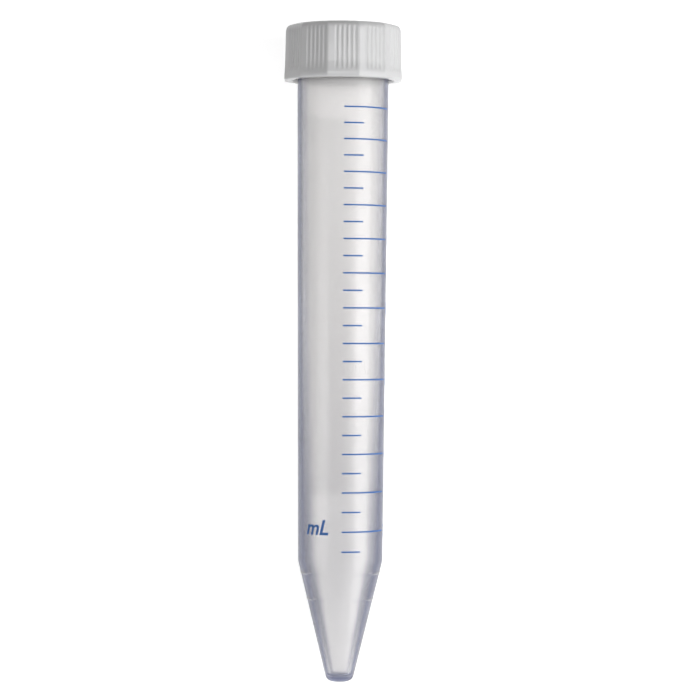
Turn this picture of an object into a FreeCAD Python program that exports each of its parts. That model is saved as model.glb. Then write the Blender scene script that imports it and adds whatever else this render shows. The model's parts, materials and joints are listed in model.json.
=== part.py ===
# 15 ml conical tube with a ribbed screw cap, laid on its side.
#
# Units are millimetres. Every piece is drawn in the tube's own frame: Z is the axis, Z = 0 is the
# outside of the tip, and the cap is at the top. One Placement then lays all of them down, so that the
# tip points to -Y, the cap to +Y, and the cap's skirt and the tube's shoulder both touch Z = 0.
import FreeCAD, Part
import math
import os
import Sketcher

# Driving sizes: (alias, value, what it is). Angles are in degrees.
SIZES = [
    ("tube_length", 118.2, "tip to rim"),
    ("tip_radius", 2.35, "cone's outside radius at the tip, before rounding"),
    ("tip_round", 1.3, "rounding of the tip's edge"),
    ("cone_height", 22.1, "tip to shoulder"),
    ("shoulder_radius", 7.74, "outside radius at the shoulder"),
    ("shoulder_round", 2.5, "rounding of the shoulder, outside"),
    ("wall_top_radius", 8.36, "outside radius at the foot of the neck"),
    ("wall", 1.14, "wall thickness of the cone, square to it, and at the shoulder"),
    ("neck_wall", 0.86, "wall thickness at the foot of the neck"),
    ("tip_floor", 1.2, "thickness of the tip's floor"),
    ("inner_tip_chamfer", 0.5, "height of the chamfer inside the tip"),
    ("neck_height", 7.8, "rim down to the foot of the neck"),
    ("neck_step", 0.16, "how far the neck stands back from the wall"),
    ("rim_chamfer", 0.2, "chamfer of the rim's edges"),
    ("ring_low", 15.3, "height of the lower moulded ring on the cone"),
    ("ring_high", 20.05, "height of the upper moulded ring on the cone"),
    ("ring_width", 0.6, "width of a moulded ring"),
    ("ring_proud", 0.14, "how far a moulded ring stands out"),
    ("lead", 3.0, "rise of the thread in one turn"),
    ("flank", 30.0, "slope of a thread's flank from square to the axis"),
    ("thread_depth", 0.6, "height of the tube's thread above the neck"),
    ("thread_crest", 0.9, "width of a thread's crest"),
    ("thread_down", 5.6, "rim down to the middle of the tube's thread at its lower end"),
    ("thread_turns", 1.4, "turns of the tube's thread"),
    ("cap_thread_turns", 1.25, "turns of the cap's thread"),
    ("thread_bite", 0.38, "how far the two threads reach over each other"),
    ("thread_gap", 0.15, "gap between the flanks that carry the cap"),
    ("thread_root_gap", 0.3, "gap between the tube's thread and the cap's bore"),
    ("root_sink", 0.25, "how far a thread is rooted in its wall"),
    ("cap_height", 10.15, "skirt's lower edge to top"),
    ("cap_roof", 1.2, "thickness of the cap's top"),
    ("skirt_wall", 1.63, "thickness of the cap's skirt at its plain band"),
    ("band_height", 1.2, "height of the plain band"),
    ("band_proud", 0.11, "how far the band stands out from the ribs"),
    ("cap_taper", 0.17, "how much smaller the cap's radius is at the top than above the band"),
    ("cap_top_chamfer", 0.6, "chamfer of the cap's top edge"),
    ("skirt_chamfer", 0.3, "chamfer of the skirt's lower edge"),
    ("mouth_chamfer", 0.35, "lead-in at the mouth of the cap"),
    ("rib_count", 72, "ribs around the cap"),
    ("groove_head", 0.9, "how far the hollows between the ribs end below the cap's top"),
    ("groove_foot", 0.1, "how far they end above the band"),
    ("groove_width", 0.56, "width of a hollow"),
    ("groove_depth", 0.34, "depth of a hollow"),
    ("groove_slope", 28.0, "slope of a hollow's sides from square to the cap"),
    ("groove_clear", 0.1, "how far a hollow's cut starts outside the cap"),
    ("seal_thickness", 0.6, "thickness of the seal between rim and cap"),
    ("seal_gap", 0.1, "gap around the seal in the cap"),
    ("plug_gap", 0.15, "gap between the seal's plug and the tube"),
    ("plug_depth", 1.8, "how far the plug reaches into the tube"),
    ("plug_wall", 0.9, "thickness of the plug's wall"),
]

# Sizes that follow from them: (alias, formula, what it is).
WORKED = [
    ("neck_foot", "Sizes.tube_length - Sizes.neck_height", "height of the neck's foot"),
    ("thread_foot", "Sizes.tube_length - Sizes.thread_down", "height of the thread's lower end"),
    ("cone_angle", "atan((Sizes.shoulder_radius - Sizes.tip_radius) / Sizes.cone_height)", "half-angle"),
    ("wall_angle", "atan((Sizes.wall_top_radius - Sizes.shoulder_radius) / (neck_foot - Sizes.cone_height))",
     "draft of the wall"),
    ("mouth_radius", "Sizes.wall_top_radius - Sizes.neck_wall", "inside radius of the neck"),
    ("bore_slope", "(mouth_radius - Sizes.shoulder_radius + Sizes.wall) / (neck_foot - Sizes.cone_height)",
     "draft of the bore, as radius over height"),
    ("inner_rise", "Sizes.wall * (1 / cos(cone_angle) - 1) / (tan(cone_angle) - bore_slope)",
     "how far the shoulder is higher inside than outside"),
    ("inner_shoulder_height", "Sizes.cone_height + inner_rise", "height of the shoulder, inside"),
    ("inner_shoulder_radius", "Sizes.shoulder_radius - Sizes.wall + bore_slope * inner_rise",
     "radius of the shoulder, inside"),
    ("inner_tip_radius",
     "Sizes.tip_radius + tan(cone_angle) * Sizes.tip_floor - Sizes.wall / cos(cone_angle)",
     "radius of the tip's floor"),
    ("neck_radius", "Sizes.wall_top_radius - Sizes.neck_step", "outside radius of the neck"),
    ("thread_radius", "neck_radius + Sizes.thread_depth", "radius of the tube's thread"),
    ("cap_thread_radius", "thread_radius - Sizes.thread_bite", "inside radius of the cap's thread"),
    ("bore_radius", "thread_radius + Sizes.thread_root_gap", "radius of the cap's bore"),
    ("band_radius", "bore_radius + Sizes.skirt_wall", "radius of the cap's plain band"),
    ("cap_low_radius", "band_radius - Sizes.band_proud", "radius over the ribs, above the band"),
    ("cap_top_radius", "cap_low_radius - Sizes.cap_taper", "radius over the ribs, at the top"),
    ("thread_drop", "Sizes.thread_crest + Sizes.thread_bite * tan(Sizes.flank) + Sizes.thread_gap",
     "how far the cap's thread lies under the tube's"),
    ("cap_thread_foot", "thread_foot - thread_drop", "height of the cap's thread at its lower end"),
    ("roof_height", "Sizes.tube_length + Sizes.seal_thickness", "underside of the cap's top"),
    ("top", "roof_height + Sizes.cap_roof", "top of the cap"),
    ("skirt_foot", "top - Sizes.cap_height", "lower edge of the cap"),
    ("band_top", "skirt_foot + Sizes.band_height", "upper edge of the plain band"),
    ("cap_angle", "atan(Sizes.cap_taper / (top - band_top))", "draft of the cap"),
    ("groove_floor", "Sizes.groove_width / 2 - Sizes.groove_depth * tan(Sizes.groove_slope)",
     "half the width of a hollow's floor"),
    ("groove_mouth", "Sizes.groove_width / 2 + Sizes.groove_clear * tan(Sizes.groove_slope)",
     "half the width of a hollow's cut where it starts"),
    ("groove_length", "(top - Sizes.groove_head - band_top - Sizes.groove_foot) / cos(cap_angle)",
     "length of a hollow, along the cap's draft"),
    ("seal_radius", "bore_radius - Sizes.seal_gap", "radius of the seal"),
    ("plug_radius", "mouth_radius - Sizes.plug_gap", "radius of the seal's plug"),
    ("plug_foot", "Sizes.tube_length - Sizes.plug_depth", "lower end of the plug"),
    # the band's edge and the shoulder's rounding touch the table: the lean of the line across them
    ("edge_z", "skirt_foot + Sizes.skirt_chamfer", "height of the band's lower edge"),
    ("shoulder_half", "(cone_angle - wall_angle) / 2", "half the turn at the shoulder"),
    ("shoulder_mean", "(cone_angle + wall_angle) / 2", "mean slope at the shoulder"),
    ("round_r", "Sizes.shoulder_radius - Sizes.shoulder_round * cos(shoulder_mean) / cos(shoulder_half)",
     "shoulder's rounding, from the axis"),
    ("round_z", "Sizes.cone_height + Sizes.shoulder_round * sin(shoulder_mean) / cos(shoulder_half)",
     "shoulder's rounding, height"),
    ("span", "sqrt(pow(band_radius - round_r; 2) + pow(edge_z - round_z; 2))", "between the two"),
    ("lean", "atan((band_radius - round_r) / (edge_z - round_z)) - asin(Sizes.shoulder_round / span)",
     "lean of the axis as the tube lies"),
    ("axis_height", "band_radius * cos(lean) - edge_z * sin(lean)", "of the tip's centre"),
    # ends of the whole part along the table, from the tip's rounding and the edge of the cap's top
    ("tip_r", "Sizes.tip_radius - Sizes.tip_round / tan(45 deg + cone_angle / 2)", "tip's rounding"),
    ("low_end", "Sizes.tip_round * (cos(lean) - 1) - tip_r * sin(lean)", "lower end of the part"),
    ("top_r", "cap_top_radius - Sizes.cap_top_chamfer", "radius of the cap's flat top"),
    ("high_end", "top_r * sin(lean) + top * cos(lean)", "upper end of the part"),
]

doc = FreeCAD.newDocument("ConicalTube")


def fill(name, rows, prefix=""):
    """A spreadsheet with one row for each size: its name, its value under that alias, and what it is."""
    sheet = doc.addObject("Spreadsheet::Sheet", name)
    for row, (alias, value, meaning) in enumerate(rows, start=1):
        sheet.set(f"A{row}", alias)
        sheet.set(f"B{row}", f"{prefix}{value}")
        sheet.setAlias(f"B{row}", alias)
        sheet.set(f"C{row}", meaning)
    doc.recompute()
    return sheet


fill("Sizes", SIZES)
worked = fill("Worked", WORKED, prefix="=")


def new_body(label):
    """A piece's body, laid down on the table with the others."""
    body = doc.addObject("PartDesign::Body", label)
    body.Label = label
    lay = "rotation(vector(1; 0; 0); Worked.lean - 90 deg)"
    shift = "vector(0; -(Worked.low_end + Worked.high_end) / 2; Worked.axis_height)"
    body.setExpression("Placement", f"placement({shift}; {lay})")
    return body


def origin_part(body, role):
    """One of the planes or axes of the body's own origin."""
    return next(f for f in body.Origin.OriginFeatures if f.Role == role)


def new_sketch(body, name, role):
    """A sketch on one of the body's origin planes."""
    sketch = body.newObject("Sketcher::SketchObject", name)
    sketch.AttachmentSupport = [(origin_part(body, role), "")]
    sketch.MapMode = "FlatFace"
    return sketch


def pin(sketch, geometry, point, name, across, up):
    """Hold a point at a distance along the sketch's X and Y, each an expression or "0"."""
    for kind, axis, letter, size in (("DistanceX", -2, "x", across), ("DistanceY", -1, "y", up)):
        if size == "0":
            sketch.addConstraint(Sketcher.Constraint("PointOnObject", geometry, point, axis))
            continue
        value = float(sketch.evalExpression(size))
        index = sketch.addConstraint(Sketcher.Constraint(kind, -1, 1, geometry, point, value))
        sketch.renameConstraint(index, f"{name}_{letter}")
        sketch.setExpression(f"Constraints.{name}_{letter}", size)


def outline(sketch, corners):
    """A closed outline, anticlockwise. A corner is its name and its place along the sketch's X and Y,
    as expressions, with the expression of its rounding as a fourth where it is rounded."""
    value = lambda expression: float(sketch.evalExpression(expression))
    at = [FreeCAD.Vector(value(c[1]), value(c[2]), 0) for c in corners]
    count = len(corners)
    starts, ends, arcs = list(at), list(at), {}
    for i, corner in enumerate(corners):
        if len(corner) < 4:
            continue
        size = value(corner[3])
        back = (at[i - 1] - at[i]).normalize()
        ahead = (at[(i + 1) % count] - at[i]).normalize()
        half = back.getAngle(ahead) / 2
        ends[i] = at[i] + back * (size / math.tan(half))
        starts[i] = at[i] + ahead * (size / math.tan(half))
        centre = at[i] + (back + ahead).normalize() * (size / math.sin(half))
        left = back.cross(ahead).z < 0
        first, last = (ends[i], starts[i]) if left else (starts[i], ends[i])
        angles = [math.atan2((p - centre).y, (p - centre).x) for p in (first, last)]
        circle = Part.Circle(centre, FreeCAD.Vector(0, 0, 1), size)
        arcs[i] = (Part.ArcOfCircle(circle, *angles), left)
    lines = [
        sketch.addGeometry(Part.LineSegment(starts[i], ends[(i + 1) % count])) for i in range(count)
    ]
    for i, corner in enumerate(corners):
        before, after = lines[i - 1], lines[i]
        if i not in arcs:
            sketch.addConstraint(Sketcher.Constraint("Coincident", before, 2, after, 1))
            pin(sketch, after, 1, *corner[:3])
            continue
        curve, left = arcs[i]
        arc = sketch.addGeometry(curve)
        tip = sketch.addGeometry(Part.Point(at[i]), True)
        into, out = (1, 2) if left else (2, 1)
        sketch.addConstraint(Sketcher.Constraint("Tangent", before, 2, arc, into))
        sketch.addConstraint(Sketcher.Constraint("Tangent", arc, out, after, 1))
        sketch.addConstraint(Sketcher.Constraint("PointOnObject", tip, 1, before))
        sketch.addConstraint(Sketcher.Constraint("PointOnObject", tip, 1, after))
        pin(sketch, tip, 1, *corner[:3])
        index = sketch.addConstraint(Sketcher.Constraint("Radius", arc, value(corner[3])))
        sketch.renameConstraint(index, f"{corner[0]}_round")
        sketch.setExpression(f"Constraints.{corner[0]}_round", corner[3])


def feature(body, kind, name, sketch):
    """A feature made from a sketch about or along the tube's axis."""
    made = body.newObject(f"PartDesign::{kind}", name)
    made.Profile = (sketch, [""])
    return made


def turned(body, name, corners):
    """A half-section turned all the way round the axis. Its corners are at radii and heights."""
    sketch = new_sketch(body, f"{name}Section", "XZ_Plane")
    outline(sketch, corners)
    made = feature(body, "Revolution", name, sketch)
    made.ReferenceAxis = (sketch, ["V_Axis"])
    made.Angle = 360
    return made


def ridge(body, name, root, crest, foot, turns):
    """A thread's ridge, swept up a right-hand helix. Its crest may lie outside its root or inside it."""
    half = "Sizes.thread_crest / 2"
    spread = f"({half} + abs({crest} - ({root})) * tan(Sizes.flank))"
    corners = [
        ("root_low", root, f"{foot} - {spread}"),
        ("crest_low", crest, f"{foot} - {half}"),
        ("crest_high", crest, f"{foot} + {half}"),
        ("root_high", root, f"{foot} + {spread}"),
    ]
    sketch = new_sketch(body, f"{name}Section", "XZ_Plane")
    outline(sketch, corners)
    made = feature(body, "AdditiveHelix", name, sketch)
    made.ReferenceAxis = (sketch, ["V_Axis"])
    made.Mode = "pitch-turns-angle"
    made.setExpression("Pitch", "Sizes.lead")
    made.setExpression("Turns", turns)
    return made


def make_tube():
    """The tube, moulded in one piece: cone, drafted wall, two rings on the cone, and threaded neck."""
    body = new_body("tube")
    turned(body, "Wall", [
        ("axis_low", "0", "0"),
        ("tip", "Sizes.tip_radius", "0", "Sizes.tip_round"),
        ("shoulder", "Sizes.shoulder_radius", "Sizes.cone_height", "Sizes.shoulder_round"),
        ("wall_top", "Sizes.wall_top_radius", "Worked.neck_foot"),
        ("neck", "Worked.neck_radius", "Worked.neck_foot + Sizes.neck_step"),
        ("rim_low_out", "Worked.neck_radius", "Sizes.tube_length - Sizes.rim_chamfer"),
        ("rim_out", "Worked.neck_radius - Sizes.rim_chamfer", "Sizes.tube_length"),
        ("rim_in", "Worked.mouth_radius + Sizes.rim_chamfer", "Sizes.tube_length"),
        ("rim_low_in", "Worked.mouth_radius", "Sizes.tube_length - Sizes.rim_chamfer"),
        ("mouth_foot", "Worked.mouth_radius", "Worked.neck_foot"),
        ("inner_shoulder", "Worked.inner_shoulder_radius", "Worked.inner_shoulder_height"),
        ("inner_tip_high", "Worked.inner_tip_radius + Sizes.inner_tip_chamfer * tan(Worked.cone_angle)",
         "Sizes.tip_floor + Sizes.inner_tip_chamfer"),
        ("inner_tip_low", "Worked.inner_tip_radius - Sizes.inner_tip_chamfer", "Sizes.tip_floor"),
        ("axis_high", "0", "Sizes.tip_floor"),
    ])
    for name in ("ring_low", "ring_high"):
        ring(body, name)
    ridge(body, "Thread", "Worked.neck_radius - Sizes.root_sink", "Worked.thread_radius",
          "Worked.thread_foot", "Sizes.thread_turns")
    return body


def ring(body, name):
    """A fine ring moulded round the cone, of triangular section with its ridge square to the wall."""
    middle = f"Sizes.{name}"
    wall_at = lambda height: f"Sizes.tip_radius + ({height}) * tan(Worked.cone_angle)"
    sink = "Sizes.wall / 4"
    low = f"{middle} - Sizes.ring_width / 2"
    high = f"{middle} + Sizes.ring_width / 2"
    turned(body, f"Ring{name[5:].title()}", [
        ("sunk_low", f"{wall_at(low)} - {sink}", low),
        ("low", wall_at(low), low),
        ("ridge", f"{wall_at(middle)} + Sizes.ring_proud", middle),
        ("high", wall_at(high), high),
        ("sunk_high", f"{wall_at(high)} - {sink}", high),
    ])


def make_cap():
    """The screw cap, moulded in one piece: flat top, ribbed grip, plain band, bore and thread."""
    body = new_body("screw_cap")
    turned(body, "Shell", [
        ("axis_low", "0", "Worked.roof_height"),
        ("roof", "Worked.bore_radius", "Worked.roof_height"),
        ("bore_foot", "Worked.bore_radius", "Worked.skirt_foot + Sizes.mouth_chamfer"),
        ("mouth", "Worked.bore_radius + Sizes.mouth_chamfer", "Worked.skirt_foot"),
        ("skirt", "Worked.band_radius - Sizes.skirt_chamfer", "Worked.skirt_foot"),
        ("band_low", "Worked.band_radius", "Worked.edge_z"),
        ("band", "Worked.band_radius", "Worked.band_top - Sizes.band_proud"),
        ("grip", "Worked.cap_low_radius", "Worked.band_top"),
        ("edge", "Worked.cap_top_radius", "Worked.top - Sizes.cap_top_chamfer"),
        ("top_edge", "Worked.top_r", "Worked.top"),
        ("axis_high", "0", "Worked.top"),
    ])
    groove_ribs(body)
    ridge(body, "Thread", "Worked.bore_radius + Sizes.root_sink", "Worked.cap_thread_radius",
          "Worked.cap_thread_foot", "Sizes.cap_thread_turns")
    return body


def groove_ribs(body):
    """Hollows between the ribs, from the band up to just under the cap's top edge. Each has a narrow
    floor and sloping sides, and is cut along the cap's draft."""
    sketch = new_sketch(body, "GrooveSection", "XY_Plane")
    lean_in = "placement(vector(Worked.cap_low_radius; 0; Worked.band_top);" \
              " rotation(vector(0; 1; 0); -Worked.cap_angle))"
    rise = "placement(vector(0; 0; Sizes.groove_foot); rotation(vector(0; 1; 0); 0 deg))"
    sketch.setExpression("AttachmentOffset", f"{lean_in} * {rise}")
    outline(sketch, [
        ("floor_right", "-Sizes.groove_depth", "-Worked.groove_floor"),
        ("mouth_right", "Sizes.groove_clear", "-Worked.groove_mouth"),
        ("mouth_left", "Sizes.groove_clear", "Worked.groove_mouth"),
        ("floor_left", "-Sizes.groove_depth", "Worked.groove_floor"),
    ])
    cut = feature(body, "Pocket", "Groove", sketch)
    cut.Reversed = True
    cut.setExpression("Length", "Worked.groove_length")
    pattern = body.newObject("PartDesign::PolarPattern", "Grooves")
    pattern.Originals = [cut]
    pattern.Axis = (origin_part(body, "Z_Axis"), [""])
    pattern.Angle = 360
    pattern.setExpression("Occurrences", "Sizes.rib_count")
    body.Tip = pattern


def make_seal():
    """The seal that closes the mouth: a thin disc on the rim, held in the cap, with a plug in the tube."""
    body = new_body("seal")
    turned(body, "Disc", [
        ("axis_low", "0", "Sizes.tube_length"),
        ("plug_in_top", "Worked.plug_radius - Sizes.plug_wall", "Sizes.tube_length"),
        ("plug_in_foot", "Worked.plug_radius - Sizes.plug_wall", "Worked.plug_foot"),
        ("plug_foot", "Worked.plug_radius", "Worked.plug_foot"),
        ("plug_top", "Worked.plug_radius", "Sizes.tube_length"),
        ("disc_low", "Worked.seal_radius", "Sizes.tube_length"),
        ("disc_high", "Worked.seal_radius", "Worked.roof_height"),
        ("axis_high", "0", "Worked.roof_height"),
    ])
    return body


pieces = [make_tube(), make_cap(), make_seal()]
doc.recompute()

failed = [o.Name for o in doc.Objects if {"Invalid", "Error"} & set(o.State)]
if failed:
    raise RuntimeError(f"these objects failed: {failed}")
for piece in pieces:
    if piece.Shape.isNull() or not piece.Shape.isValid() or len(piece.Shape.Solids) != 1:
        raise RuntimeError(f"{piece.Label} isn't one valid solid")

os.makedirs("parts", exist_ok=True)
for piece in pieces:
    piece.Shape.exportStep(f"parts/{piece.Label}.step")
    box = piece.Shape.BoundBox
    print(f"{piece.Label}: {piece.Shape.Volume:.1f} mm3, Y {box.YMin:.3f} to {box.YMax:.3f}, "
          f"Z {box.ZMin:.4f} to {box.ZMax:.3f}")
for alias in ("lean", "axis_height", "low_end", "high_end", "mouth_radius", "top", "skirt_foot"):
    print(f"{alias}: {worked.get(alias)}")
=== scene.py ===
"""A 15 ml conical tube with its screw cap, dressed around its CAD frame.

Every piece is first shaped in the tube's own frame, where Z is the axis, Z = 0 is the outside of
the tip, -Y is the front and +X is the right-hand side. The axis and the rim that the frame gives
for the cap's joint then lay it down beside the CAD solids. Lengths are metres.
"""

import json
import math

import bmesh
import bpy
from bpy.props import FloatProperty, FloatVectorProperty, IntProperty, PointerProperty
from mathutils import Matrix, Vector


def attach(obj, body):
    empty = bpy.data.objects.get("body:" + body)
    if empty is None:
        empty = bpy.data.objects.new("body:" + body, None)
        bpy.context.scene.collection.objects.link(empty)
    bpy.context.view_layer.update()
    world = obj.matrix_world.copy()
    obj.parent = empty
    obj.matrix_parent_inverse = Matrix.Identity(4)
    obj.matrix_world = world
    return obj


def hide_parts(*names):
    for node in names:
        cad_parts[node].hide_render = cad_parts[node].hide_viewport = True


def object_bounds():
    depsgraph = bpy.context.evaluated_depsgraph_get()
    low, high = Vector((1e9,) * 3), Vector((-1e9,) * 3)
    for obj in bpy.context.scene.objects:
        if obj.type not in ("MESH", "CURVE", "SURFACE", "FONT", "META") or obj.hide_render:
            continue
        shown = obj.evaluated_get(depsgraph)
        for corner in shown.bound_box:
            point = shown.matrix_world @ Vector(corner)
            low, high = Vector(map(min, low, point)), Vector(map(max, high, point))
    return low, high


bl_info = {
    "name": "Conical Tube",
    "version": (1, 0, 0),
    "blender": (4, 5, 0),
    "location": "View3D > Sidebar > Conical Tube",
    "description": "Builds a printed 15 ml conical tube with its screw cap on its CAD frame",
    "category": "Object",
}

MM = 0.001
MILLILITRE = 1e-6

SMOOTH_BELOW = math.radians(35.0)  # edges that bend less than this are shaded smooth
ON_AXIS = 1e-7  # a smaller radius is a point on the axis

# Distance from one row of faces to the next, at most or about
WALL_ROW = 1.5 * MM
RING_ROW = 0.05 * MM
THREAD_ROW = 0.09 * MM
CAP_ROW = 0.35 * MM
BORE_ROW = 0.15 * MM
PANEL_ROW = 5 * MM
LETTER_COLUMN = 0.25 * MM

# The scale's first and last line, in millilitres
FIRST_MARK, LAST_MARK = 1.5, 14

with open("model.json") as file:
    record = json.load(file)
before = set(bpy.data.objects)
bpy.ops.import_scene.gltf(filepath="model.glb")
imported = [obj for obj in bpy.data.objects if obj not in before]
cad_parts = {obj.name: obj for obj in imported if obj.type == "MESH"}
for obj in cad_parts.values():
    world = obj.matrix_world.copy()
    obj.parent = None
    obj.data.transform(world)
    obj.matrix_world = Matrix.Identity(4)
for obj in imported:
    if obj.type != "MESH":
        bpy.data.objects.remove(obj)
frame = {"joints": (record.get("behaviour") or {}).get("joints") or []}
cad_low, cad_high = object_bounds()
turn_joint = next(j for j in frame["joints"] if j["name"] == "cap_turn")


def length(name, description, millimetres):
    """A length in millimetres, kept as a Blender length."""
    return FloatProperty(name=name, description=description, default=millimetres * MM,
                         unit="LENGTH", precision=5)


def angle(name, description, degrees):
    """An angle in degrees, kept as a Blender angle."""
    return FloatProperty(name=name, description=description, default=math.radians(degrees),
                         unit="ROTATION")


def colour(name, description, rgb):
    """A colour as red, green and blue, in Blender's linear values."""
    return FloatVectorProperty(name=name, description=description, default=rgb, subtype="COLOR",
                               size=3, min=0.0, max=1.0)


def factor(name, description, value):
    """A number between 0 and 1."""
    return FloatProperty(name=name, description=description, default=value, min=0.0, max=1.0,
                         subtype="FACTOR")


def number(name, description, value, unit="NONE"):
    """A number with no limits, in watts for POWER and in millimetres for CAMERA."""
    return FloatProperty(name=name, description=description, default=value, unit=unit)


def count(name, description, value, least):
    """A whole number with a lower limit."""
    return IntProperty(name=name, description=description, default=value, min=least)


class TubeSizes(bpy.types.PropertyGroup):
    """Sizes of the moulded tube."""
    length: length("Length", "Tip to rim", 118.2)
    tip_radius: length("Tip radius", "Cone's radius at the tip, before rounding", 2.35)
    tip_round: length("Tip rounding", "Rounding of the tip's edge", 1.3)
    cone_height: length("Cone height", "Tip to shoulder", 22.1)
    shoulder_radius: length("Shoulder radius", "Outside radius at the shoulder", 7.74)
    shoulder_round: length("Shoulder rounding", "Rounding of the shoulder, outside", 2.5)
    wall_top_radius: length("Wall top radius", "Outside radius at the foot of the neck", 8.36)
    wall: length("Wall", "Thickness of the wall at the shoulder, and of the cone's, square to it",
                 1.14)
    neck_wall: length("Neck wall", "Wall thickness at the foot of the neck", 0.86)
    tip_floor: length("Tip floor", "Thickness of the tip's floor", 1.2)
    inner_tip_round: length("Inner tip rounding", "Rounding inside the tip", 0.8)
    inner_shoulder_round: length("Inner shoulder rounding", "Rounding of the shoulder, inside", 2.0)
    neck_foot: length("Neck foot", "Height at which the neck starts", 110.4)
    neck_step: length("Neck step", "How far the neck stands back", 0.16)
    rim_round: length("Rim rounding", "Rounding of the rim's edges", 0.2)
    ring_low: length("Lower ring", "Height of the lower moulded ring", 15.3)
    ring_high: length("Upper ring", "Height of the upper moulded ring", 20.05)
    ring_width: length("Ring width", "Width of a moulded ring", 0.6)
    ring_proud: length("Ring height", "How far a moulded ring stands out", 0.09)
    thread_foot: length("Thread foot", "Middle of the thread at its lower end", 112.6)
    thread_turns: number("Thread turns", "Turns of the tube's thread", 1.4)
    sides: count("Sides", "Facets round the tube", 192, 24)


class CapSizes(bpy.types.PropertyGroup):
    """Sizes of the screw cap and its seal."""
    height: length("Height", "Skirt's lower edge to top", 10.15)
    roof: length("Roof", "Thickness of the top", 1.2)
    top_radius: length("Top radius", "Axis to a flat side at the top", 10.45)
    low_radius: length("Low radius", "Axis to a flat side above the band", 10.62)
    band_radius: length("Band radius", "Axis to a flat side on the plain band", 10.73)
    band_height: length("Band height", "Height of the plain band", 1.2)
    top_round: length("Top rounding", "Rounding of the top edge", 1.3)
    skirt_round: length("Skirt rounding", "Rounding of the lower edge", 0.3)
    bore_radius: length("Bore radius", "Radius of the bore", 9.1)
    mouth_chamfer: length("Mouth chamfer", "Lead-in at the mouth", 0.35)
    sides: count("Sides", "Flat sides round the cap", 12, 6)
    side_columns: count("Columns", "Columns of faces on one side", 52, 8)
    side_turn: angle("Side turn", "Middle of the first side, round from the front", 7.5 / 13)
    corner_round: length("Corner rounding", "Rounding of the corner between two sides", 1.0)
    grooves: count("Grooves", "Hollows in one side, an odd number", 5, 1)
    groove_head: length("Groove head", "How far the hollows end below the top", 0.9)
    groove_foot: length("Groove foot", "How far the hollows end above the skirt's edge", 1.3)
    groove_depth: length("Groove depth", "Depth of a hollow", 0.14)
    groove_share: factor("Groove share", "Share of the pitch that a hollow takes", 0.66)
    groove_pitch: angle("Groove pitch", "From one hollow to the next", 60 / 13)
    groove_middle: angle("Groove middle", "Middle hollow, from the middle of its side", 30 / 13)
    thread_turns: number("Thread turns", "Turns of the cap's thread", 1.25)
    thread_reach: length("Thread reach", "Height of the cap's thread above its bore", 0.68)
    thread_drop: length("Thread drop", "How far the cap's thread lies under the tube's", 1.2694)
    seal_radius: length("Seal radius", "Radius of the seal", 9.0)
    seal_thickness: length("Seal thickness", "Thickness of the seal's disc", 0.6)
    plug_radius: length("Plug radius", "Radius of the seal's plug", 7.35)
    plug_depth: length("Plug depth", "How far the plug reaches into the tube", 1.8)
    plug_wall: length("Plug wall", "Thickness of the plug's wall", 0.9)
    edge_round: length("Seal rounding", "Rounding of the seal's edges", 0.15)
    seal_sides: count("Seal sides", "Facets round the seal", 144, 24)


class ThreadSizes(bpy.types.PropertyGroup):
    """The thread's form, shared by tube and cap."""
    lead: length("Lead", "Rise of the thread in one turn", 3.0)
    depth: length("Depth", "Height of the tube's thread above the neck", 0.6)
    crest: length("Crest", "Width of the thread's crest", 0.9)
    flank: angle("Flank", "Slope of a flank from square to the axis", 30.0)
    run_out: angle("Run-out", "Angle over which the thread's ends taper away", 14.0)


class PrintSizes(bpy.types.PropertyGroup):
    """Sizes and places of the print on the tube. Angles run round from the front to the right."""
    ink: length("Ink", "How far the print stands on the wall", 0.012)
    line: length("Line", "Width of a scale line", 0.27)
    start: angle("Line start", "Left-hand end of every line, round from the front", 1.9)
    short_end: angle("Short line end", "Right-hand end of a half-millilitre line", 27.6)
    long_end: angle("Long line end", "Right-hand end of a whole-millilitre line", 76.0)
    short_columns: count("Short line's columns", "Columns of faces on a short line", 12, 2)
    long_columns: count("Long line's columns", "Columns of faces on a long line", 36, 4)
    numeral_start: angle("Numeral start", "Left-hand edge of the numerals", 80.0)
    numeral_height: length("Numeral height", "Height of a numeral", 2.3)
    unit_angle: angle("Unit angle", "Middle of the unit, round from the front", -34.3)
    unit_height: length("Unit height", "Height of the unit's capital letter", 2.7)
    unit_level: length("Unit level", "Height of the unit's foot above the tip", 27.35)
    unit_slant: factor("Unit slant", "Slant of the unit's letters", 0.25)
    unit_bold: factor("Unit weight", "Widening of the strokes, as a share of their height", 0.03)
    panel_low: length("Panel low", "Lower edge of the writing panel", 33.8)
    panel_high: length("Panel high", "Upper edge of the writing panel", 103.8)
    panel_start: angle("Panel start", "First edge of the panel, round from the front", 167.0)
    panel_end: angle("Panel end", "Last edge of the panel, round from the front", 245.0)
    panel_round: length("Panel rounding", "Rounding of the panel's corners", 1.5)
    panel_columns: count("Panel's columns", "Columns of faces on the panel", 32, 4)


class Finishes(bpy.types.PropertyGroup):
    """Colours of the tube, its cap and its print."""
    wall: colour("Wall", "Clear polypropylene", (0.93, 0.92, 0.915))
    # painted shade: this dark blue-grey stands in for the dark surround seen in the clear wall's
    # edge
    wall_edge: colour("Wall edge", "The same, looked along the wall", (0.105, 0.12, 0.225))
    cap: colour("Cap", "White polyethylene", (0.82, 0.82, 0.825))
    seal: colour("Seal", "Natural polyethylene", (0.78, 0.78, 0.76))
    ink: colour("Ink", "Blue ink of the scale", (0.04, 0.16, 0.5))
    panel: colour("Panel", "White ink of the writing panel", (0.92, 0.92, 0.92))
    haze: factor("Haze", "Share of light that the clear wall scatters", 0.15)
    cover: factor("Cover", "How much of what lies behind the panel's ink it hides", 0.2)


# ---------------------------------------------------------------- shapes in the tube's own frame

def tube_axis():
    """Direction of the tube's axis in the row frame, from the cap's joint."""
    return Vector(turn_joint["axis"]).normalized()


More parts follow.
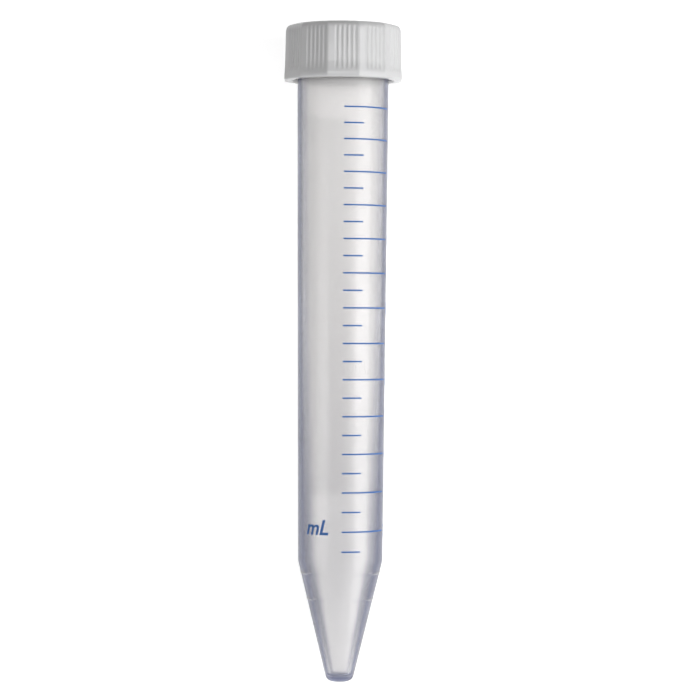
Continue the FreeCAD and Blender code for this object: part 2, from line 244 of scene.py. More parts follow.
def own_frame():
    """Matrix from the tube's own frame to the row frame, from the cap's joint."""
    axis = tube_axis()
    rim = Vector(turn_joint["pos_m"])
    foot = rim - axis * bpy.context.scene.tube_sizes.length
    right = Vector((1, 0, 0))
    back = axis.cross(right)
    turn = Matrix((right, back, axis)).transposed().to_4x4()
    return Matrix.Translation(foot) @ turn


def clamped(value, low=0.0, high=1.0):
    """A value held between two limits."""
    return max(low, min(high, value))


def rounded(section, steps=6):
    """A section with its corners rounded. A corner is (radius, height), with its rounding third."""
    made = []
    for i, corner in enumerate(section):
        here = Vector(corner[:2])
        if len(corner) < 3 or i in (0, len(section) - 1):
            made.append(tuple(here))
            continue
        back = (Vector(section[i - 1][:2]) - here).normalized()
        ahead = (Vector(section[i + 1][:2]) - here).normalized()
        half = back.angle(ahead) / 2
        centre = here + (back + ahead).normalized() * (corner[2] / math.sin(half))
        first = here + back * (corner[2] / math.tan(half)) - centre
        last = here + ahead * (corner[2] / math.tan(half)) - centre
        sweep = first.angle_signed(last)
        for step in range(steps + 1):
            made.append(tuple(centre + Matrix.Rotation(-sweep * step / steps, 2) @ first))
    return made


def spaced(section, gap):
    """A section with points added, so that no stretch is longer than the gap."""
    made = [section[0]]
    for last, here in zip(section, section[1:]):
        parts = max(1, math.ceil(math.dist(last, here) / gap))
        for part in range(1, parts + 1):
            share = part / parts
            made.append((last[0] + (here[0] - last[0]) * share,
                         last[1] + (here[1] - last[1]) * share))
    return made


def steps_between(start, stop, step):
    """Evenly spaced numbers from start to stop, about a step apart."""
    parts = max(1, round((stop - start) / step))
    return [start + (stop - start) * i / parts for i in range(parts + 1)]


def turned_mesh(name, section, sides, radius_at=None):
    """A closed mesh turned round the axis from a section that starts and ends on it. radius_at,
    where given, takes the row, the angle, the radius and the height, and returns the radius."""
    mesh = bmesh.new()
    rows = []
    for row, (radius, height) in enumerate(section):
        if radius < ON_AXIS:
            rows.append([mesh.verts.new((0, 0, height))])
            continue
        ring = []
        for side in range(sides):
            around = math.tau * side / sides
            here = radius_at(row, around, radius, height) if radius_at else radius
            place = (here * math.sin(around), -here * math.cos(around), height)
            ring.append(mesh.verts.new(place))
        rows.append(ring)
    for below, above in zip(rows, rows[1:]):
        for side in range(sides):
            after = (side + 1) % sides
            corners = [below[side % len(below)], below[after % len(below)],
                       above[after % len(above)], above[side % len(above)]]
            corners = list(dict.fromkeys(corners))
            if len(corners) > 2:
                mesh.faces.new(corners)
    bmesh.ops.recalc_face_normals(mesh, faces=mesh.faces)
    return finished(name, mesh)


def finished(name, mesh):
    """An object in the row frame from a bmesh in the tube's own frame, shaded smooth."""
    mesh.transform(own_frame())
    data = bpy.data.meshes.new(name)
    for face in mesh.faces:
        face.smooth = True
    for edge in mesh.edges:
        edge.smooth = len(edge.link_faces) == 2 and edge.calc_face_angle(0.0) < SMOOTH_BELOW
    mesh.to_mesh(data)
    mesh.free()
    piece = bpy.data.objects.new(name, data)
    bpy.context.scene.collection.objects.link(piece)
    return piece


def thread_height(around, height, foot, turns, thread):
    """How much of a thread's full height there is at an angle and a height, from 0 to 1."""
    whole = math.tau * turns
    flank_width = thread.depth * math.tan(thread.flank)
    best = 0.0
    for turn in range(math.ceil(turns) + 1):
        along = around + math.tau * turn
        if along > whole:
            break
        off = abs(height - foot - thread.lead * along / math.tau) - thread.crest / 2
        taper = min(1.0, along / thread.run_out, (whole - along) / thread.run_out)
        best = max(best, taper * clamped(1.0 - off / flank_width))
    return best


# ---------------------------------------------------------------- materials

def put(tree, socket, value):
    """Link a socket to another one, or give it a value. A colour gets its fourth number."""
    if isinstance(value, bpy.types.NodeSocket):
        tree.links.new(value, socket)
    elif socket.type == "RGBA":
        socket.default_value = (*value, 1.0)
    else:
        socket.default_value = value


def shader(name, **inputs):
    """A material with one Principled BSDF whose inputs are set, its node tree and that node."""
    material = bpy.data.materials.new(name)
    material.use_nodes = True
    tree = material.node_tree
    principled = tree.nodes["Principled BSDF"]
    for key, value in inputs.items():
        put(tree, principled.inputs[key.replace("_", " ")], value)
    return material, tree, principled


def add(tree, kind, label, **inputs):
    """A node with its inputs set by name."""
    node = tree.nodes.new(kind)
    node.label = label
    for key, value in inputs.items():
        put(tree, node.inputs[key.replace("_", " ")], value)
    return node


def blended(tree, label, amount, first, second):
    """A colour mixed from two, which are colours or sockets."""
    node = add(tree, "ShaderNodeMix", label)
    node.data_type = "RGBA"
    colour_a, colour_b, mixed = node.inputs[6], node.inputs[7], node.outputs[2]
    for socket, value in ((node.inputs["Factor"], amount), (colour_a, first), (colour_b, second)):
        put(tree, socket, value)
    return mixed


def ranged(tree, label, value, span, result):
    """A value taken from one range to another, with a smooth step. Any end may be a socket."""
    node = add(tree, "ShaderNodeMapRange", label)
    node.interpolation_type = "SMOOTHSTEP"
    keys = ("Value", "From Min", "From Max", "To Min", "To Max")
    for key, end in zip(keys, (value, *span, *result)):
        put(tree, node.inputs[key], end)
    return node.outputs["Result"]


def worked_out(tree, label, kind, operation, first, second):
    """A node for one operation on two values, which are numbers, vectors or sockets."""
    node = add(tree, kind, label)
    node.operation = operation
    put(tree, node.inputs[0], first)
    put(tree, node.inputs[1], second)
    return node


def math_node(tree, label, operation, first, second=0.0):
    """The result of one operation on numbers or sockets."""
    return worked_out(tree, label, "ShaderNodeMath", operation, first, second).outputs[0]


def own_place(tree):
    """The piece's own coordinates."""
    node = tree.nodes.get("place") or tree.nodes.new("ShaderNodeTexCoord")
    node.name = "place"
    return node.outputs["Object"]


def grain(tree, label, scale, detail=2.0):
    """A noise over the piece's own coordinates."""
    return add(tree, "ShaderNodeTexNoise", label, Vector=own_place(tree), Scale=scale,
               Detail=detail).outputs["Fac"]


def dented(tree, principled, label, height, distance, strength):
    """A bump on the shader from a height."""
    bump = add(tree, "ShaderNodeBump", label, Height=height, Strength=strength, Distance=distance)
    tree.links.new(bump.outputs["Normal"], principled.inputs["Normal"])


def height_above_tip(tree):
    """Height along the tube's own axis, from the piece's own coordinates."""
    from_tip = worked_out(tree, "from the tip", "ShaderNodeVectorMath", "SUBTRACT",
                          own_place(tree), own_frame().translation)
    along = worked_out(tree, "along the axis", "ShaderNodeVectorMath", "DOT_PRODUCT",
                       from_tip.outputs["Vector"], tube_axis())
    return along.outputs["Value"]


def off_ring(tree, level, middle, width, clear):
    """The clear share on a moulded ring, rising to 1 beside it. It lowers the painted edge shade
    there, so that the ring shows as a painted glint at the wall's edge.
    """
    off = math_node(tree, "off", "SUBTRACT", level, middle)
    away = math_node(tree, "from the ring", "ABSOLUTE", off)
    return ranged(tree, "beside the ring", away, (0.3 * width, 0.6 * width), (clear, 1.0))


def wall_material(name, finishes, sizes):
    """Clear polypropylene, a little hazy. Its colour is painted darker where one looks along the
    wall, as painted shade for the dark surround that a clear wall shows at its edge, and more so
    towards the tip, where the wall is thick for its radius. The moulded rings keep less of that
    painted shade at the edge, as painted glints."""
    material, tree, principled = shader(name, IOR=1.49, Transmission_Weight=1.0 - finishes.haze)
    along = add(tree, "ShaderNodeLayerWeight", "look along the wall", Blend=0.5).outputs["Facing"]
    cloud = grain(tree, "flow of the moulding", scale=90.0)
    level = height_above_tip(tree)
    # where the painted edge shade starts and is full: lower near the tip, so the painted band is
    # wider there
    starts = ranged(tree, "edge starts", level, (0, 80 * MM), (0.15, 0.42))
    full = ranged(tree, "edge is full", level, (0, 80 * MM), (0.5, 0.64))
    tint = ranged(tree, "edge", along, (starts, full), (0, 1))
    # the painted edge shade eased to 0.7 at the very limb near the tip, full again 24 mm up
    limb = ranged(tree, "limb's share", level, (0, 24 * MM), (0.7, 1))
    tint = math_node(tree, "lighter limb", "MULTIPLY", tint,
                     ranged(tree, "limb", along, (0.4, 0.8), (1, limb)))
    # painted shade: the tip's end takes the full edge colour below 0.8 mm, fading out by 1.8 mm
    tint = math_node(tree, "thick floor", "MAXIMUM", tint,
                     ranged(tree, "floor", level, (0.8 * MM, 1.8 * MM), (1, 0)))
    # darker towards the tip: 6% of the edge colour over the wall at the tip, fading out 90 mm up
    tint = math_node(tree, "thick cone", "MAXIMUM", tint,
                     ranged(tree, "cone", level, (0, 90 * MM), (0.06, 0)))
    # painted glints: where the moulded rings meet the wall's edge they keep as little as 0.3 of the
    # painted edge shade
    clear = ranged(tree, "clear at the limb", along, (0.45, 0.75), (1, 0.3))
    for middle in (sizes.ring_low, sizes.ring_high):
        tint = math_node(tree, "clear ring", "MULTIPLY", tint,
                         off_ring(tree, level, middle, sizes.ring_width, clear))
    base = blended(tree, "tint", tint, finishes.wall, finishes.wall_edge)
    put(tree, principled.inputs["Base Color"], base)
    gloss = ranged(tree, "gloss", cloud, (0.3, 0.7), (0.21, 0.26))
    put(tree, principled.inputs["Roughness"], gloss)
    dented(tree, principled, "moulding ripple", grain(tree, "ripple", scale=260.0),
           distance=0.02 * MM, strength=0.08)
    return material


def mottled(tree, principled, cloud, shades, satin):
    """Base colour between two shades, and roughness between two values, both after a noise."""
    put(tree, principled.inputs["Base Color"], blended(tree, "shade", cloud, *shades))
    put(tree, principled.inputs["Roughness"], ranged(tree, "satin", cloud, (0.3, 0.7), satin))


def cap_material(name, finishes):
    """Satin white polyethylene, with the faint unevenness of its mould."""
    material, tree, principled = shader(
        name, IOR=1.5, Specular_IOR_Level=0.25, Subsurface_Weight=0.6, Subsurface_Radius=(1, 1, 1),
        Subsurface_Scale=1.0 * MM, Coat_Weight=0.6, Coat_Roughness=0.06)
    cloud = grain(tree, "mould shade", scale=160.0, detail=4.0)
    deep = tuple(0.94 * c for c in finishes.cap)
    mottled(tree, principled, cloud, (deep, finishes.cap), (0.36, 0.46))
    dented(tree, principled, "spark texture", grain(tree, "spark", scale=2600.0),
           distance=0.02 * MM, strength=0.2)
    return material


def seal_material(name, finishes):
    """Soft natural polyethylene."""
    material, tree, principled = shader(name, IOR=1.5, Subsurface_Weight=0.3,
                                        Subsurface_Radius=(1, 1, 1), Subsurface_Scale=0.8 * MM)
    cloud = grain(tree, "mould shade", scale=300.0)
    deep = tuple(0.93 * c for c in finishes.seal)
    mottled(tree, principled, cloud, (deep, finishes.seal), (0.35, 0.5))
    return material


def ink_material(name, ink, roughness, cover):
    """Screen-printed ink, a little uneven in its cover."""
    material, tree, principled = shader(name, IOR=1.5, Specular_IOR_Level=0.3, Alpha=cover)
    cloud = grain(tree, "cover", scale=1800.0, detail=3.0)
    thin = tuple(c + 0.03 * (1 - c) for c in ink)
    mottled(tree, principled, cloud, (ink, thin), (roughness, roughness + 0.15))
    return material


def material_of(name, maker, *facts):
    """A material made once and then shared."""
    return bpy.data.materials.get(name) or maker(name, *facts)


# ---------------------------------------------------------------- the moulded tube

def outside_radius(sizes, height):
    """Outside radius of cone or wall at a height."""
    if height >= sizes.cone_height:
        widening = sizes.wall_top_radius - sizes.shoulder_radius
        slope = widening / (sizes.neck_foot - sizes.cone_height)
        return sizes.shoulder_radius + slope * (height - sizes.cone_height)
    cone = (sizes.shoulder_radius - sizes.tip_radius) / sizes.cone_height
    return sizes.tip_radius + cone * height


def inside_section(sizes):
    """Inside corners of the tube from the mouth down: (radius, height), with any rounding third."""
    cone = (sizes.shoulder_radius - sizes.tip_radius) / sizes.cone_height
    cone_wall = sizes.wall * math.sqrt(1 + cone * cone)
    mouth = sizes.wall_top_radius - sizes.neck_wall
    shoulder = sizes.shoulder_radius - sizes.wall
    slope = (mouth - shoulder) / (sizes.neck_foot - sizes.cone_height)
    rise = (cone_wall - sizes.wall) / (cone - slope)
    floor = sizes.tip_radius + cone * sizes.tip_floor - cone_wall
    return [
        (mouth, sizes.neck_foot),
        (shoulder + slope * rise, sizes.cone_height + rise, sizes.inner_shoulder_round),
        (floor, sizes.tip_floor, sizes.inner_tip_round),
        (0.0, sizes.tip_floor),
    ]


def ringed(sizes, points):
    """The outside with the two moulded rings raised on the cone, as low rounded swells."""
    made = []
    for radius, height in points:
        for middle in (sizes.ring_low, sizes.ring_high):
            off = abs(height - middle) / (sizes.ring_width / 2)
            if off < 1:
                radius += sizes.ring_proud * 0.5 * (1 + math.cos(math.pi * off))
        made.append((radius, height))
    return made


def build_tube(scene):
    """The tube in one closed mesh: cone, drafted wall, moulded rings, threaded neck and bore."""
    sizes, thread = scene.tube_sizes, scene.thread_sizes
    neck = sizes.wall_top_radius - sizes.neck_step
    mouth = sizes.wall_top_radius - sizes.neck_wall
    outside = spaced(rounded([
        (0.0, 0.0),
        (sizes.tip_radius, 0.0, sizes.tip_round),
        (sizes.shoulder_radius, sizes.cone_height, sizes.shoulder_round),
        (sizes.wall_top_radius, sizes.neck_foot),
    ]), WALL_ROW)
    # fine rows for the rings, from over the last coarse row to under the shoulder's rounding
    first_gap, fine_top, second_gap = 0.2 * MM, 21.4 * MM, 0.05 * MM
    low = [p for p in outside if p[1] < sizes.ring_low - sizes.ring_width]
    cone = [(outside_radius(sizes, height), height)
            for height in steps_between(low[-1][1] + first_gap, fine_top, RING_ROW)]
    high = [p for p in outside if p[1] > fine_top + second_gap]
    # fine rows for the thread, from the neck's foot to under the rim's rounding
    under_rim = 0.4 * MM
    neck_rows = [(neck, height) for height in steps_between(
        sizes.neck_foot + sizes.neck_step, sizes.length - under_rim, THREAD_ROW)]
    rim = rounded([
        neck_rows[-1],
        (neck, sizes.length, sizes.rim_round),
        (mouth, sizes.length, sizes.rim_round),
        (mouth, sizes.neck_foot),
    ])[1:-1]
    inside = spaced(rounded(inside_section(sizes), steps=10), WALL_ROW)
    section = low + ringed(sizes, cone) + high + neck_rows + rim + inside
    first = len(low) + len(cone) + len(high)
    threaded = range(first, first + len(neck_rows))

    def radius_at(row, around, radius, height):
        if row not in threaded:
            return radius
        share = thread_height(around, height, sizes.thread_foot, sizes.thread_turns, thread)
        return radius + thread.depth * share

    return turned_mesh("tube_wall", section, sizes.sides, radius_at)


# ---------------------------------------------------------------- cap and seal

def flat_side(radius, off, side, rounding):
    """Radius over a flat side, at an angle off its middle, up to the rounded corner beside it."""
    to_corner = side / 2 - abs(off)
    centre = (radius - rounding) / math.cos(side / 2)
    width = math.atan2(rounding * math.sin(side / 2), centre + rounding * math.cos(side / 2))
    if to_corner < width:
        across = centre * math.sin(to_corner)
        return centre * math.cos(to_corner) + math.sqrt(rounding ** 2 - across ** 2)
    return radius / math.cos(off)


def build_cap(scene):
    """The cap in one closed mesh: flat top, rounded edge, bore, thread, and flat sides with a few
    hollows in each between two plain strips."""
    sizes, tube, thread = scene.cap_sizes, scene.tube_sizes, scene.thread_sizes
    roof = tube.length + sizes.seal_thickness
    top = roof + sizes.roof
    foot = top - sizes.height
    bore = sizes.bore_radius
    mouth = bore + sizes.mouth_chamfer
    # the sides flare out to the band in two soft bends, above and below its top
    band_top = foot + sizes.band_height
    flare = sizes.band_radius - sizes.low_radius
    bend_above, bend_below = 14 * flare, 3 * flare
    bend_round, mouth_round = 2.0 * MM, 0.1 * MM
    outside = spaced(rounded([
        (0.0, top),
        (sizes.top_radius, top, sizes.top_round),
        (sizes.low_radius, band_top + bend_above, bend_round),
        (sizes.band_radius, band_top - bend_below, bend_round),
        (sizes.band_radius, foot, sizes.skirt_round),
        (mouth, foot, mouth_round),
        (bore, foot + sizes.mouth_chamfer),
    ]), CAP_ROW)
    corner = 0.05 * MM  # the bevel where bore and roof meet
    bore_rows = [(bore, height) for height in steps_between(
        foot + sizes.mouth_chamfer + corner, roof - corner, BORE_ROW)]
    section = outside + bore_rows + [(bore - corner, roof), (bore / 2, roof), (0.0, roof)]
    threaded = range(len(outside), len(outside) + len(bore_rows))
    thread_foot = tube.thread_foot - sizes.thread_drop
    side = math.tau / sizes.sides
    beside = sizes.grooves // 2
    round_to_flat = 0.5 * MM  # foot and top turn from round to flat this far out from the mouth
    head_run, foot_run = 0.35 * MM, 0.6 * MM  # lengths over which a hollow's two ends rise

    def radius_at(row, around, radius, height):
        if row in threaded:
            share = thread_height(around, height, thread_foot, sizes.thread_turns, thread)
            return radius - sizes.thread_reach * share
        if row >= len(outside):
            return radius
        across = (around - sizes.side_turn + side / 2) % side - side / 2
        share = clamped((radius - mouth) / round_to_flat)
        radius += share * (flat_side(radius, across, side, sizes.corner_round) - radius)
        place = (across - sizes.groove_middle) / sizes.groove_pitch
        off = abs(place - clamped(round(place), -beside, beside)) / (sizes.groove_share / 2)
        hollow = math.sqrt(1 - off * off) if off < 1 else 0.0
        head = math.sqrt(clamped((top - sizes.groove_head - height) / head_run))
        tail = clamped((height - foot - sizes.groove_foot) / foot_run)
        ends = head * (0.5 - 0.5 * math.cos(math.pi * tail))
        return radius - sizes.groove_depth * hollow * ends

    return turned_mesh("cap_shell", section, sizes.sides * sizes.side_columns, radius_at)


def build_seal(scene):
    """The seal: a disc on the rim with a ring that plugs the tube."""
    sizes, tube = scene.cap_sizes, scene.tube_sizes
    low, high = tube.length, tube.length + sizes.seal_thickness
    plug_foot = low - sizes.plug_depth
    inner = sizes.plug_radius - sizes.plug_wall
    root_round, lip_round, inner_round = 0.1 * MM, 0.3 * MM, 0.2 * MM
    section = rounded([
        (0.0, high),
        (sizes.seal_radius, high, sizes.edge_round),
        (sizes.seal_radius, low, sizes.edge_round),
        (sizes.plug_radius, low, root_round),
        (sizes.plug_radius, plug_foot, lip_round),
        (inner, plug_foot, lip_round),
        (inner, low, inner_round),
        (0.0, low),
    ])
    return turned_mesh("seal_disc", section, sizes.seal_sides)


# ---------------------------------------------------------------- print

def bore_volume(sizes, level):
    """Volume of the bore up to a height, summed over its straight stretches."""
    corners = [corner[:2] for corner in inside_section(sizes)][::-1]
    total = 0.0
    for (r1, h1), (r2, h2) in zip(corners, corners[1:]):
        if h2 <= h1 or level <= h1:
            continue
        stop = min(level, h2)
        reach = r1 + (r2 - r1) * (stop - h1) / (h2 - h1)
        total += math.pi * (stop - h1) * (r1 * r1 + r1 * reach + reach * reach) / 3
    return total


def level_of(sizes, millilitres):
    """Height at which the bore holds a volume, found by halving."""
    low, high = 0.0, sizes.length
    for _ in range(40):
        middle = (low + high) / 2
        if bore_volume(sizes, middle) < millilitres * MILLILITRE:
            low = middle
        else:
            high = middle
    return (low + high) / 2


def printed(name, mesh, sizes, ink):
    """Lay a flat mesh on the tube. X is the angle from the front and Y the height above the tip."""
    for vert in mesh.verts:
        around, height = vert.co.x, vert.co.y
        radius = outside_radius(sizes, height) + ink + vert.co.z
        vert.co = (radius * math.sin(around), -radius * math.cos(around), height)
    return finished(name, mesh)


def print_row(mesh, start, end, level, columns):
    """A row of vertices on a flat sheet of print, from one angle to another at a level."""
    return [mesh.verts.new((start + (end - start) * i / columns, level, 0.0))
            for i in range(columns + 1)]


def filled(mesh, rows):
    """Faces between rows of vertices, each row above the last."""
    for row, above in zip(rows, rows[1:]):
        for i in range(len(row) - 1):
            mesh.faces.new((row[i], row[i + 1], above[i + 1], above[i]))


def build_scale(scene):
    """The scale: a long line at each whole millilitre and a short one at each half."""
    sizes, marks = scene.tube_sizes, scene.print_sizes
    mesh = bmesh.new()
    for half in range(round(2 * FIRST_MARK), 2 * LAST_MARK + 1):
        level = level_of(sizes, half / 2)
        end, columns = marks.long_end, marks.long_columns
        if half % 2:
            end, columns = marks.short_end, marks.short_columns
        filled(mesh, [print_row(mesh, marks.start, end, edge, columns)
                      for edge in (level - marks.line / 2, level + marks.line / 2)])
    return printed("scale_lines", mesh, sizes, marks.ink)


def lettering(name, text, height, align, shear, bold):
    """A flat mesh of plain lettering with its foot at Y = 0, right of X = 0 or centred there."""
    font_size = 1.4 * height  # the capitals are as high as asked for
    curve = bpy.data.curves.new(name, "FONT")
    curve.body = text
    curve.size = font_size
    curve.shear = shear
    curve.offset = bold * height
    curve.align_x = align
    curve.resolution_u = 3
    holder = bpy.data.objects.new(name, curve)
    bpy.context.scene.collection.objects.link(holder)
    bpy.context.view_layer.update()
    data = bpy.data.meshes.new_from_object(holder)
    mesh = bmesh.new()
    mesh.from_mesh(data)
    bpy.data.objects.remove(holder)
    bpy.data.curves.remove(curve)
    bpy.data.meshes.remove(data)
    return mesh


def place_lettering(target, text, height, around, level, radius, align="LEFT", shear=0.0, bold=0.0):
    """Add lettering to a flat sheet of print, with its foot at a level. It starts at an angle or is
    centred there, and is cut into columns so that it can follow the wall."""
    mesh = lettering(f"lettering_{text}", text, height, align, shear, bold)
    places = [vert.co.x for vert in mesh.verts]
    for cut in steps_between(min(places), max(places), LETTER_COLUMN)[1:-1]:
        bmesh.ops.bisect_plane(mesh, geom=[*mesh.verts, *mesh.edges, *mesh.faces],
                               plane_co=(cut, 0, 0), plane_no=(1, 0, 0))
    made = {}
    for vert in mesh.verts:
        made[vert] = target.verts.new((around + vert.co.x / radius, level + vert.co.y, 0.0))
    for face in mesh.faces:
        target.faces.new([made[v] for v in face.verts])
    mesh.free()


def build_numerals(scene):
    """A numeral at the end of each whole-millilitre line, and the unit on the left."""
    sizes, marks = scene.tube_sizes, scene.print_sizes
    mesh = bmesh.new()
    for value in range(math.ceil(FIRST_MARK), LAST_MARK + 1):
        level = level_of(sizes, value) - marks.numeral_height / 2
        place_lettering(mesh, str(value), marks.numeral_height, marks.numeral_start, level,
                        outside_radius(sizes, level))
    place_lettering(mesh, "mL", marks.unit_height, marks.unit_angle, marks.unit_level,
                    outside_radius(sizes, marks.unit_level), "CENTER", marks.unit_slant,
                    marks.unit_bold)
    return printed("scale_numerals", mesh, sizes, marks.ink)


def build_panel(scene):
    """The white panel for writing on, on the back of the tube."""
    sizes, marks = scene.tube_sizes, scene.print_sizes
    radius, corner = sizes.wall_top_radius, marks.panel_round
    low, high = marks.panel_low, marks.panel_high
    steps = 8  # rows over a rounded corner
    bends = [math.pi / 2 * i / steps for i in range(steps + 1)]
    levels = [low + corner * (1 - math.cos(bend)) for bend in bends]
    levels += steps_between(levels[-1], high - corner, PANEL_ROW)[1:]
    levels += [high - corner * (1 - math.sin(bend)) for bend in bends[1:]]
    mesh = bmesh.new()
    rows = []
    for level in levels:
        edge = min(level - low, high - level, corner)
        inset = (corner - math.sqrt(max(0.0, corner ** 2 - (corner - edge) ** 2))) / radius
        rows.append(print_row(mesh, marks.panel_start + inset, marks.panel_end - inset, level,
                              marks.panel_columns))
    filled(mesh, rows)
    return printed("writing_panel", mesh, sizes, marks.ink)


def dress(piece, body, slot, material, *nodes):
    """Give a piece its material and its body, and let it stand for its CAD nodes. The slot is not
    used.
    """
    piece.data.materials.append(material)
    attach(piece, body)
    if nodes:
        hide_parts(*nodes)


class BuildTube(bpy.types.Operator):
    """Build the moulded tube"""
    bl_idname = "conical_tube.tube"
    bl_label = "Tube"

    def execute(self, context):
        scene = context.scene
        piece = build_tube(scene)
        clear = material_of("clear_polypropylene", wall_material, scene.finishes, scene.tube_sizes)
        dress(piece, "tube", "tube", clear, "tube")
        return {"FINISHED"}


class BuildCap(bpy.types.Operator):
    """Build the screw cap"""
    bl_idname = "conical_tube.cap"
    bl_label = "Screw cap"

    def execute(self, context):
        scene = context.scene
        piece = build_cap(scene)
        white = material_of("white_polyethylene", cap_material, scene.finishes)
        dress(piece, "cap", "cap", white, "screw_cap")
        return {"FINISHED"}


class BuildSeal(bpy.types.Operator):
    """Build the seal between rim and cap"""
    bl_idname = "conical_tube.seal"
    bl_label = "Seal"

    def execute(self, context):
        scene = context.scene
        piece = build_seal(scene)
        natural = material_of("natural_polyethylene", seal_material, scene.finishes)
        dress(piece, "seal", "seal", natural, "seal")
        return {"FINISHED"}


class BuildPrint(bpy.types.Operator):
    """Print the scale, its numerals and the writing panel"""
    bl_idname = "conical_tube.print"
    bl_label = "Print"

    def execute(self, context):
        scene = context.scene
        finishes = scene.finishes
        blue_gloss, white_gloss, full_cover = 0.35, 0.5, 1.0
        blue = material_of("blue_ink", ink_material, finishes.ink, blue_gloss, full_cover)
        white = material_of("white_ink", ink_material, finishes.panel, white_gloss, finishes.cover)
        dress(build_scale(scene), "tube", "tube", blue)
        dress(build_numerals(scene), "tube", "tube", blue)
        dress(build_panel(scene), "tube", "tube", white)
        return {"FINISHED"}


# ---------------------------------------------------------------- stage

class StageSizes(bpy.types.PropertyGroup):
    """Camera, floor and lamps."""
    distance: length("Distance", "Camera to the tube's axis", 500.0)
    lens: number("Lens", "Focal length", 140.4, "CAMERA")
    eye_level: length("Eye level", "Height along the tube that the camera stands over", 66.2)
    aim_level: length("Aim level", "Height along the tube in the middle of the view", 60.7)
    aim_side: length("Aim side", "How far right of the axis the camera aims", 1.57)
    roll: angle("Roll", "Turn of the camera about its own axis", 0.354)
    floor: length("Floor", "Width of the floor", 3000.0)
    floor_white: number("Floor's own white", "Brightness of its own that the floor shows", 0.75)
    key: number("Key lamp", "Strength of the lamp on the right", 1.85, "POWER")
    fill: number("Fill lamp", "Strength of the lamp on the left", 0.53, "POWER")
    front: number("Front lamp", "Strength of the strip beyond the cap", 0.5, "POWER")
    ambient: number("Ambient", "Strength of the light all round", 0.47)
    left: factor("From the left", "Share of that light that comes from the left", 0.05)
    beyond: factor("Beyond the cap", "Share of that light that comes from beyond the cap", 0.03)


def aimed(place, target, up):
    """A matrix at a place that looks at a target, with a given direction up."""
    back = (place - target).normalized()
    side = up.cross(back).normalized()
    turn = Matrix((side, back.cross(side), back)).transposed().to_4x4()
    return Matrix.Translation(place) @ turn


def along_tube(own):
    """Direction along the tube, from its own frame's matrix."""
    return (own.to_3x3() @ Vector((0, 0, 1))).normalized()


def add_camera(stage, own):
    """The camera over the front of the tube."""
    side = Vector((1, 0, 0))
    place = own @ Vector((stage.aim_side, -stage.distance, stage.eye_level))
    target = own @ Vector((stage.aim_side, 0, stage.aim_level))
    up = along_tube(own) * math.cos(stage.roll) - side * math.sin(stage.roll)
    data = bpy.data.cameras.new("camera")
    data.lens = stage.lens
    data.sensor_width = 36.0
    data.clip_start = 0.01
    camera = bpy.data.objects.new("camera", data)
    camera.matrix_world = aimed(place, target, up)
    bpy.context.scene.collection.objects.link(camera)
    bpy.context.scene.camera = camera


def add_lamp(own, name, watts, size, degrees, distance, level):
    """A soft lamp square to the tube: at an angle round from its front to its right, at a distance
    from its axis and at a height above its tip."""
    data = bpy.data.lights.new(name, "AREA")
    data.shape = "RECTANGLE"
    data.size, data.size_y = size
    data.energy = watts
    around = math.radians(degrees)
    middle = own @ Vector((0, 0, level))
    place = own @ Vector((distance * math.sin(around), -distance * math.cos(around), level))
    lamp = bpy.data.objects.new(name, data)
    lamp.matrix_world = aimed(place, middle, along_tube(own))
    bpy.context.scene.collection.objects.link(lamp)


def seen_directly(tree):
    """Whether a ray comes from the camera, or from it through the clear wall or off a gloss."""
    path = tree.nodes.new("ShaderNodeLightPath")
    through = math_node(tree, "camera or clear", "MAXIMUM", path.outputs["Is Camera Ray"],
                        path.outputs["Is Transmission Ray"])
    return math_node(tree, "or gloss", "MAXIMUM", through, path.outputs["Is Glossy Ray"])


def chosen(tree, label, seen, lighting, shown, out_kind):
    """Show one shader to what sees it directly, and light by the other."""
    mix = add(tree, "ShaderNodeMixShader", label, Fac=seen)
    put(tree, mix.inputs[1], lighting.outputs[0])
    put(tree, mix.inputs[2], shown.outputs[0])
    out = add(tree, out_kind, "out")
    put(tree, out.inputs["Surface"], mix.outputs[0])


def floor_material(stage):
    """A white floor that keeps the shadow: part of its brightness is its own to the camera."""
    material = bpy.data.materials.new("white_floor")
    material.use_nodes = True
    tree = material.node_tree
    tree.nodes.clear()
    matt = add(tree, "ShaderNodeBsdfDiffuse", "matt", Color=(0.8, 0.8, 0.8))
    glow = add(tree, "ShaderNodeEmission", "own white", Color=(1, 1, 1),
               Strength=stage.floor_white)
    both = add(tree, "ShaderNodeAddShader", "floor")
    put(tree, both.inputs[0], matt.outputs[0])
    put(tree, both.inputs[1], glow.outputs[0])
    chosen(tree, "seen or lighting", seen_directly(tree), matt, both, "ShaderNodeOutputMaterial")
    return material


def add_floor(stage):
    """The floor that the tube lies on."""
    half = stage.floor / 2
    mesh = bmesh.new()
    mesh.faces.new([mesh.verts.new((x * half, y * half, cad_low.z))
                    for x, y in ((-1, -1), (1, -1), (1, 1), (-1, 1))])
    data = bpy.data.meshes.new("floor")
    mesh.to_mesh(data)
    mesh.free()
    floor = bpy.data.objects.new("floor", data)
    floor.data.materials.append(floor_material(stage))
    bpy.context.scene.collection.objects.link(floor)


def add_world(stage):
    """A white surround to the eye. It lights the tube softly, less from the left and less from
    beyond the cap."""
    world = bpy.data.worlds.new("surround")
    bpy.context.scene.world = world
    world.use_nodes = True
    tree = world.node_tree
    tree.nodes.clear()
    place = tree.nodes.new("ShaderNodeTexCoord")
    way = add(tree, "ShaderNodeSeparateXYZ", "direction", Vector=place.outputs["Generated"])
    beyond = ranged(tree, "darker beyond the cap", way.outputs["Y"], (-0.8, 0.5),
                    (stage.ambient, stage.ambient * stage.beyond))
    left = ranged(tree, "darker on the left", way.outputs["X"], (-0.6, 0.2), (stage.left, 1))
    strength = math_node(tree, "light all round", "MULTIPLY", beyond, left)
    lit = add(tree, "ShaderNodeBackground", "light", Color=(1, 1, 1), Strength=strength)
    white = add(tree, "ShaderNodeBackground", "white", Color=(1, 1, 1), Strength=1.0)
    chosen(tree, "seen or lighting", seen_directly(tree), lit, white, "ShaderNodeOutputWorld")


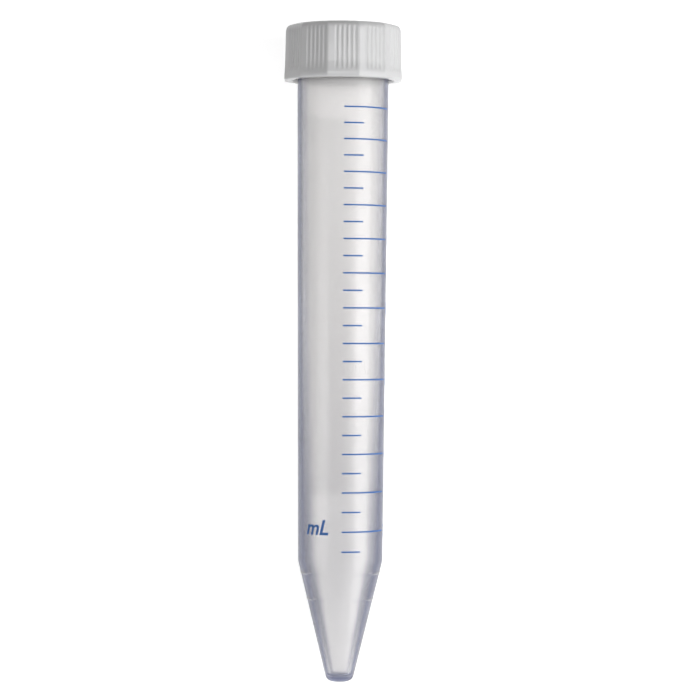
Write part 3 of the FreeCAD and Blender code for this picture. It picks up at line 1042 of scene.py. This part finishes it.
class BuildStage(bpy.types.Operator):
    """Set up the camera, the floor, the surround and the lamps"""
    bl_idname = "conical_tube.stage"
    bl_label = "Stage"

    def execute(self, context):
        scene = context.scene
        stage = scene.stage_sizes
        own = own_frame()
        add_camera(stage, own)
        add_floor(stage)
        add_world(stage)
        add_lamp(own, "key_lamp", stage.key, size=(0.35, 0.52), degrees=57, distance=0.5,
                 level=-0.05)
        add_lamp(own, "fill_lamp", stage.fill, size=(0.29, 0.42), degrees=-51, distance=0.5,
                 level=-0.07)
        add_lamp(own, "front_lamp", stage.front, size=(0.79, 0.05), degrees=-1.5, distance=0.6,
                 level=0.18)
        scene.view_settings.view_transform = "Standard"
        return {"FINISHED"}


class TubePanel(bpy.types.Panel):
    """Buttons for each piece, and the sizes behind them"""
    bl_idname = "VIEW3D_PT_conical_tube"
    bl_label = "Conical Tube"
    bl_space_type = "VIEW_3D"
    bl_region_type = "UI"
    bl_category = "Conical Tube"

    def draw(self, context):
        for operator in OPERATORS:
            self.layout.operator(operator.bl_idname)
        for name in GROUPS:
            group = getattr(context.scene, name)
            box = self.layout.box()
            for key in group.__annotations__:
                box.prop(group, key)


GROUPS = {
    "tube_sizes": TubeSizes,
    "cap_sizes": CapSizes,
    "thread_sizes": ThreadSizes,
    "print_sizes": PrintSizes,
    "finishes": Finishes,
    "stage_sizes": StageSizes,
}
OPERATORS = (BuildTube, BuildCap, BuildSeal, BuildPrint, BuildStage)


def register():
    """Register the classes, and keep each group of sizes on the scene."""
    for cls in (*GROUPS.values(), *OPERATORS, TubePanel):
        bpy.utils.register_class(cls)
    for name, cls in GROUPS.items():
        setattr(bpy.types.Scene, name, PointerProperty(type=cls))


def unregister():
    """Undo what register did."""
    for name in GROUPS:
        delattr(bpy.types.Scene, name)
    for cls in reversed((*GROUPS.values(), *OPERATORS, TubePanel)):
        bpy.utils.unregister_class(cls)


def main():
    """Register the add-on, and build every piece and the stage."""
    register()
    for operator in OPERATORS:
        group, name = operator.bl_idname.split(".")
        getattr(getattr(bpy.ops, group), name)()


if __name__ == "__main__":
    main()
